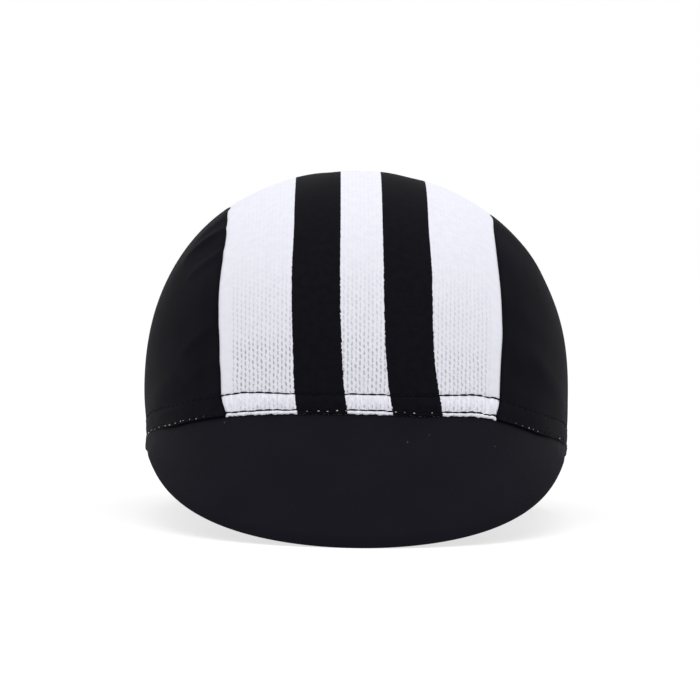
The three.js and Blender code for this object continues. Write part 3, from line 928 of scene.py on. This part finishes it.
class Nodes:
    """Builds a material's node tree in few words."""

    def __init__(self, name):
        self.material = bpy.data.materials.new(name)
        self.material.use_nodes = True
        self.tree = self.material.node_tree
        self.shader = self.tree.nodes["Principled BSDF"]

    def node(self, kind, inputs=(), **settings):
        made = self.tree.nodes.new(kind)
        for key, value in settings.items():
            setattr(made, key, value)
        for key, value in dict(inputs).items():
            if hasattr(value, "links"):
                self.tree.links.new(value, made.inputs[key])
            else:
                made.inputs[key].default_value = value
        return made

    def attribute(self, name):
        return self.node("ShaderNodeAttribute", attribute_name=name).outputs["Fac"]

    def object_place(self):
        return self.node("ShaderNodeTexCoord").outputs["Object"]

    def math(self, operation, *values):
        return self.node("ShaderNodeMath", dict(enumerate(values)), operation=operation).outputs[0]

    def times(self, *values):
        product = values[0]
        for value in values[1:]:
            product = self.math("MULTIPLY", product, value)
        return product

    def vector(self, x, y, z=0.0):
        return self.node("ShaderNodeCombineXYZ", {"X": x, "Y": y, "Z": z}).outputs[0]

    def ramp(self, value, low, high, out_low=0.0, out_high=1.0):
        inputs = {"Value": value, 1: low, 2: high, 3: out_low, 4: out_high}
        return self.node("ShaderNodeMapRange", inputs, interpolation_type="SMOOTHSTEP").outputs[0]

    def noise(self, vector, scale, detail=2.0):
        inputs = {"Vector": vector, "Scale": scale, "Detail": detail}
        return self.node("ShaderNodeTexNoise", inputs).outputs["Fac"]

    def centred_noise(self, vector, scale, reach, detail=2.0):
        return self.math("MULTIPLY_ADD", self.noise(vector, scale, detail), reach, -reach / 2)

    def patches(self, vector, scale, detail=2.0, out_low=0.0, out_high=1.0):
        return self.ramp(self.noise(vector, scale, detail), *PATCH_RANGE, out_low, out_high)

    def blend(self, share, low, high):
        inputs = {0: share, 6: low, 7: high}
        return self.node("ShaderNodeMix", inputs, data_type="RGBA").outputs[2]

    def finish(self, base, height, surface):
        """Links the colour and the bump, sets the surface's own values, and gives the material."""
        inputs = {"Height": height, "Distance": surface["bump"], "Strength": surface["strength"]}
        normal = self.node("ShaderNodeBump", inputs).outputs[0]
        self.tree.links.new(base, self.shader.inputs["Base Color"])
        self.tree.links.new(normal, self.shader.inputs["Normal"])
        self.shader.inputs["Roughness"].default_value = surface["roughness"]
        self.shader.inputs["Specular IOR Level"].default_value = surface["specular"]
        self.shader.inputs["Sheen Weight"].default_value = surface["sheen"]
        self.shader.inputs["Sheen Roughness"].default_value = SHEEN_ROUGHNESS
        return self.material


def eyelets(n, place, column, v):
    """How much painted hole shade each point gets, and how far it lies across its column."""
    stagger = n.math("MULTIPLY", n.math("PINGPONG", n.math("FLOOR", column), 1.0), EYELET_STAGGER)
    row = n.math("ADD", n.math("DIVIDE", v, EYELET_ROW_PITCH), stagger)
    across = n.math("MULTIPLY", n.math("SUBTRACT", n.math("FRACT", column), 0.5), EYELET_PITCH)
    down = n.math("MULTIPLY", n.math("SUBTRACT", n.math("FRACT", row), 0.5), EYELET_ROW_PITCH)
    slant = n.math("MULTIPLY_ADD", down, EYELET_SLANT, across)
    size_u = n.math("POWER", n.math("DIVIDE", slant, EYELET_HALF_WIDTH), 2.0)
    size_v = n.math("POWER", n.math("DIVIDE", down, EYELET_HALF_LENGTH), 2.0)
    hole = n.ramp(n.math("ADD", size_u, size_v), *EYELET_RIM, 1.0, 0.0)
    patches = n.noise(place, EYELET_PATCHES["scale"], 1.0)
    uneven = n.ramp(patches, EYELET_PATCHES["low"], EYELET_PATCHES["high"], EYELET_PATCHES["least"], 1.0)
    return n.times(hole, uneven, n.attribute("hole_shade")), across


def print_share(n, u, v, calm):
    """Where the two stripes are printed, which shows only faintly inside."""
    course = n.math("FLOOR", n.math("DIVIDE", v, COURSE_PITCH))
    edge_place = n.vector(n.math("MULTIPLY", u, PRINT_EDGE_STRETCH), course)
    edge_noise = n.times(n.math("SUBTRACT", n.noise(edge_place, PRINT_EDGE_SCALE), 0.5), calm)
    from_middle = n.math("ADD", n.math("ABSOLUTE", n.attribute("print_x")), edge_noise)
    inner = n.ramp(from_middle, STRIPE_INNER - PRINT_EDGE_BLUR, STRIPE_INNER + PRINT_EDGE_BLUR)
    outer = n.ramp(from_middle, STRIPE_OUTER - PRINT_EDGE_BLUR, STRIPE_OUTER + PRINT_EDGE_BLUR, 1.0, 0.0)
    return n.times(inner, outer, n.ramp(n.attribute("inside"), *INSIDE_RANGE, 1.0, PRINT_INSIDE))


def white_mesh_material():
    """White knitted eyelet mesh: staggered columns of slots with painted shade in them, and two broad printed
    stripes.
    """
    n = Nodes("white_mesh")
    u, v, height = n.attribute("cloth_u"), n.attribute("cloth_v"), n.attribute("height")
    place = n.vector(u, v)
    wobble = n.centred_noise(place, COLUMN_WOBBLE["scale"], COLUMN_WOBBLE["reach"])
    jitter = n.centred_noise(place, COLUMN_JITTER["scale"], COLUMN_JITTER["reach"], 1.0)
    column = n.math("DIVIDE", n.math("ADD", n.math("ADD", u, wobble), jitter), EYELET_PITCH)
    seen, across = eyelets(n, place, column, v)
    calm = n.ramp(height, CALM_FROM, CALM_TO, 1.0, CALM_SHARE)
    printed = print_share(n, u, v, calm)

    mottle = n.patches(place, MOTTLE_SCALE, MOTTLE_DETAIL)
    wale = n.times(n.ramp(n.math("ABSOLUTE", across), 0.0, WALE_WIDTH, 1.0, 0.0), n.attribute("waled"))
    doubled = n.attribute("doubled")
    crease_place = n.vector(u, n.math("MULTIPLY", v, CREASE_STRETCH))
    crease = n.times(n.ramp(n.noise(crease_place, CREASE_SCALE), *CREASE_RANGE), doubled)
    white = n.blend(mottle, colour("mesh_dim"), colour("mesh_light"))
    white = n.blend(doubled, white, colour("mesh_doubled"))
    # painted shade in the eyelets, for the shaded inside seen through them
    white = n.blend(n.times(seen, EYELET_SHADE), white, colour("mesh_hole_shade"))
    white = n.blend(n.times(wale, WALE_SHADE), white, colour("mesh_wale"))
    # painted highlight on the hem's lip, brighter than the cloth over it
    white = n.blend(n.ramp(height, *LIP_HIGHLIGHT, 1.0, 0.0), white, colour("mesh_lip_highlight"))
    # painted shade in the hem's creases
    white = n.blend(n.times(crease, CREASE_SHADE), white, colour("mesh_crease_shade"))
    black = n.blend(mottle, colour("print_dark"), colour("print_light"))

    rib = n.math("SINE", n.math("MULTIPLY", column, RIB_TURN))
    fine = n.times(rib, n.patches(place, RIB_SCALE, 2.0, *RIB_DEPTHS), calm)
    sunk = n.math("MAXIMUM", n.times(seen, n.math("SUBTRACT", 1.0, printed)), crease)
    return n.finish(n.blend(printed, white, black), n.math("SUBTRACT", fine, sunk), SURFACES["white_mesh"])


def knit_height(n, u, v, pitch):
    """Rows of tiny knitted loops, with slow unevenness."""
    columns = n.math("SINE", n.math("MULTIPLY", u, 2 * math.pi / pitch))
    rows = n.math("SINE", n.math("MULTIPLY", v, 2 * math.pi / (pitch * KNIT_ROW_SHARE)))
    grain = n.noise(n.vector(u, v), KNIT_GRAIN, BROAD_DETAIL)
    return n.math("MULTIPLY_ADD", n.times(columns, rows), KNIT_DEPTH, grain)


def black_jersey_material():
    """Smooth black knit, matt, with a soft shine along its folds and at the outline."""
    n = Nodes("black_jersey")
    u, v = n.attribute("cloth_u"), n.attribute("cloth_v")
    shade = n.patches(n.vector(u, v), JERSEY_PATCHES, BROAD_DETAIL)
    base = n.blend(shade, colour("jersey_dark"), colour("jersey_light"))
    return n.finish(base, knit_height(n, u, v, JERSEY_PITCH), SURFACES["black_jersey"])


def peak_material():
    """Matt black cover, with sparse pale ticks."""
    n = Nodes("black_peak_cloth")
    u, v = n.attribute("cloth_u"), n.attribute("cloth_v")
    place = n.vector(n.math("DIVIDE", u, TICK_SPACING[0]), n.math("DIVIDE", v, TICK_SPACING[1]))
    cells = n.node("ShaderNodeTexVoronoi", {"Vector": place, "Scale": 1.0, "Randomness": 1.0})
    tick = n.ramp(cells.outputs["Distance"], *TICK_RIM, 1.0, 0.0)
    drawn = n.node("ShaderNodeSeparateColor", {"Color": cells.outputs["Color"]}).outputs[0]
    tick = n.times(tick, n.ramp(drawn, *TICK_CHANCE), TICK_STRENGTH)
    shade = n.patches(n.vector(u, v), COVER_PATCHES, BROAD_DETAIL)
    cover = n.blend(shade, colour("cover_dark"), colour("cover_light"))
    base = n.blend(tick, cover, colour("cover_tick"))
    return n.finish(base, knit_height(n, u, v, COVER_PITCH), SURFACES["black_peak_cloth"])


def band_material():
    """Soft black band with fine upright ribs."""
    n = Nodes("band_cloth")
    u, v = n.attribute("cloth_u"), n.attribute("cloth_v")
    place = n.vector(u, v)
    rib = n.math("SINE", n.math("MULTIPLY", u, 2 * math.pi / BAND_RIB_PITCH))
    base = n.blend(n.patches(place, BAND_PATCHES), colour("band_dark"), colour("band_light"))
    height = n.math("MULTIPLY_ADD", rib, BAND_RIB_DEPTH, n.noise(place, BAND_GRAIN))
    return n.finish(base, height, SURFACES["band_cloth"])


def thread_material(name, dark, light):
    """Twisted thread, between two colours."""
    n = Nodes(name)
    place = n.object_place()
    base = n.blend(n.ramp(n.noise(place, THREAD_GRAIN), *THREAD_PATCH_RANGE), colour(dark), colour(light))
    twist = n.node("ShaderNodeTexWave", {"Vector": place, "Scale": THREAD_GRAIN}, bands_direction="DIAGONAL")
    return n.finish(base, twist.outputs["Fac"], SURFACES["thread"])


def floor_material():
    """Pale floor with a faint glow, so that it comes out as white as the backdrop."""
    n = Nodes("studio_floor")
    place = n.object_place()
    base = n.blend(n.patches(place, FLOOR_PATCHES), colour("floor_dim"), colour("floor_light"))
    n.shader.inputs["Emission Color"].default_value = (1, 1, 1, 1)
    n.shader.inputs["Emission Strength"].default_value = FLOOR_GLOW
    return n.finish(base, n.noise(place, FLOOR_GRAIN), SURFACES["studio_floor"])


# Stage, light and camera, in metres
FLOOR_RADIUS = 4
FLOOR_SIDES = 96
WORLD_STRENGTH = 1.0
LAMP_SIZE = (1.2, 1.0)
LAMP_ENERGY = 6.6
LAMP_PLACE = Vector((0.05, -0.1, 1.3))
LAMP_AIM = Vector((0, 0, 0.06))

# The photograph's view: measured in its 700 px frame
VIEW_DISTANCE = 1.3
VIEW_WIDTH = 0.2674  # width of the frame at that distance
VIEW_AZIMUTH = math.radians(-0.19)
VIEW_ELEVATION = math.radians(2.58)
VIEW_ROLL = math.radians(-0.79)
VIEW_TARGET = Vector((-0.0027, 0.0, 0.0636))
SENSOR = 36


def studio_floor():
    shape = {"vertices": FLOOR_SIDES, "radius": FLOOR_RADIUS, "fill_type": "NGON"}
    bpy.ops.mesh.primitive_circle_add(location=(0, 0, 0), **shape)
    floor = bpy.context.object
    floor.name = "studio_floor"
    floor.data.materials.append(floor_material())


def studio_light():
    world = bpy.data.worlds.new("studio")
    bpy.context.scene.world = world
    world.use_nodes = True
    background = world.node_tree.nodes["Background"]
    background.inputs["Color"].default_value = (1.0, 1.0, 1.0, 1.0)
    background.inputs["Strength"].default_value = WORLD_STRENGTH
    top = bpy.data.lights.new("top_softbox", "AREA")
    top.shape = "RECTANGLE"
    top.size, top.size_y = LAMP_SIZE
    top.energy = LAMP_ENERGY
    lamp = bpy.data.objects.new("top_softbox", top)
    lamp.location = LAMP_PLACE
    lamp.rotation_euler = (LAMP_AIM - LAMP_PLACE).to_track_quat("-Z", "Y").to_euler()
    bpy.context.scene.collection.objects.link(lamp)


def photo_camera():
    data = bpy.data.cameras.new("photo_camera")
    data.sensor_width = SENSOR
    data.lens = SENSOR * VIEW_DISTANCE / VIEW_WIDTH
    camera = bpy.data.objects.new("photo_camera", data)
    bpy.context.scene.collection.objects.link(camera)
    flat = math.cos(VIEW_ELEVATION)
    back = Vector((math.sin(VIEW_AZIMUTH) * flat, -math.cos(VIEW_AZIMUTH) * flat, math.sin(VIEW_ELEVATION)))
    right = Vector((math.cos(VIEW_AZIMUTH), math.sin(VIEW_AZIMUTH), 0))
    up = back.cross(right)
    c, s = math.cos(VIEW_ROLL), math.sin(VIEW_ROLL)
    axes = Matrix((c * right - s * up, s * right + c * up, back)).transposed()
    camera.matrix_world = Matrix.Translation(VIEW_TARGET + back * VIEW_DISTANCE) @ axes.to_4x4()
    bpy.context.scene.camera = camera
    bpy.context.scene.view_settings.view_transform = "Standard"


def dress(piece, material, slot, *nodes):
    """Gives a piece its material and body, and hides the imported nodes that it stands for. The slot is not
    used.
    """
    piece.data.materials.append(material)
    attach(piece, BODY)
    if nodes:
        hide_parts(*nodes)


photo_camera()
studio_light()
studio_floor()

jersey = black_jersey_material()
dress(centre_panel(), white_mesh_material(), "white_mesh", "centre_panel")
dress(side_panel(1, "side_cloth_left"), jersey, "black_jersey", "side_panel_left")
dress(side_panel(-1, "side_cloth_right"), jersey, "black_jersey", "side_panel_right")
dress(sweatband(), band_material(), "band_cloth", "sweatband")
dress(peak(), peak_material(), "black_peak_cloth", "peak")

dark_thread = thread_material("dark_thread", "thread_dark", "thread_light")
dress(stitch_row("lower_stitches", lambda rim: LOWER_ROW), dark_thread, "black_jersey")
dress(stitch_row("upper_stitches", upper_row), dark_thread, "black_jersey")
dress(needle_specks(), thread_material("pale_base", "base_dim", "base_light"), "white_mesh")
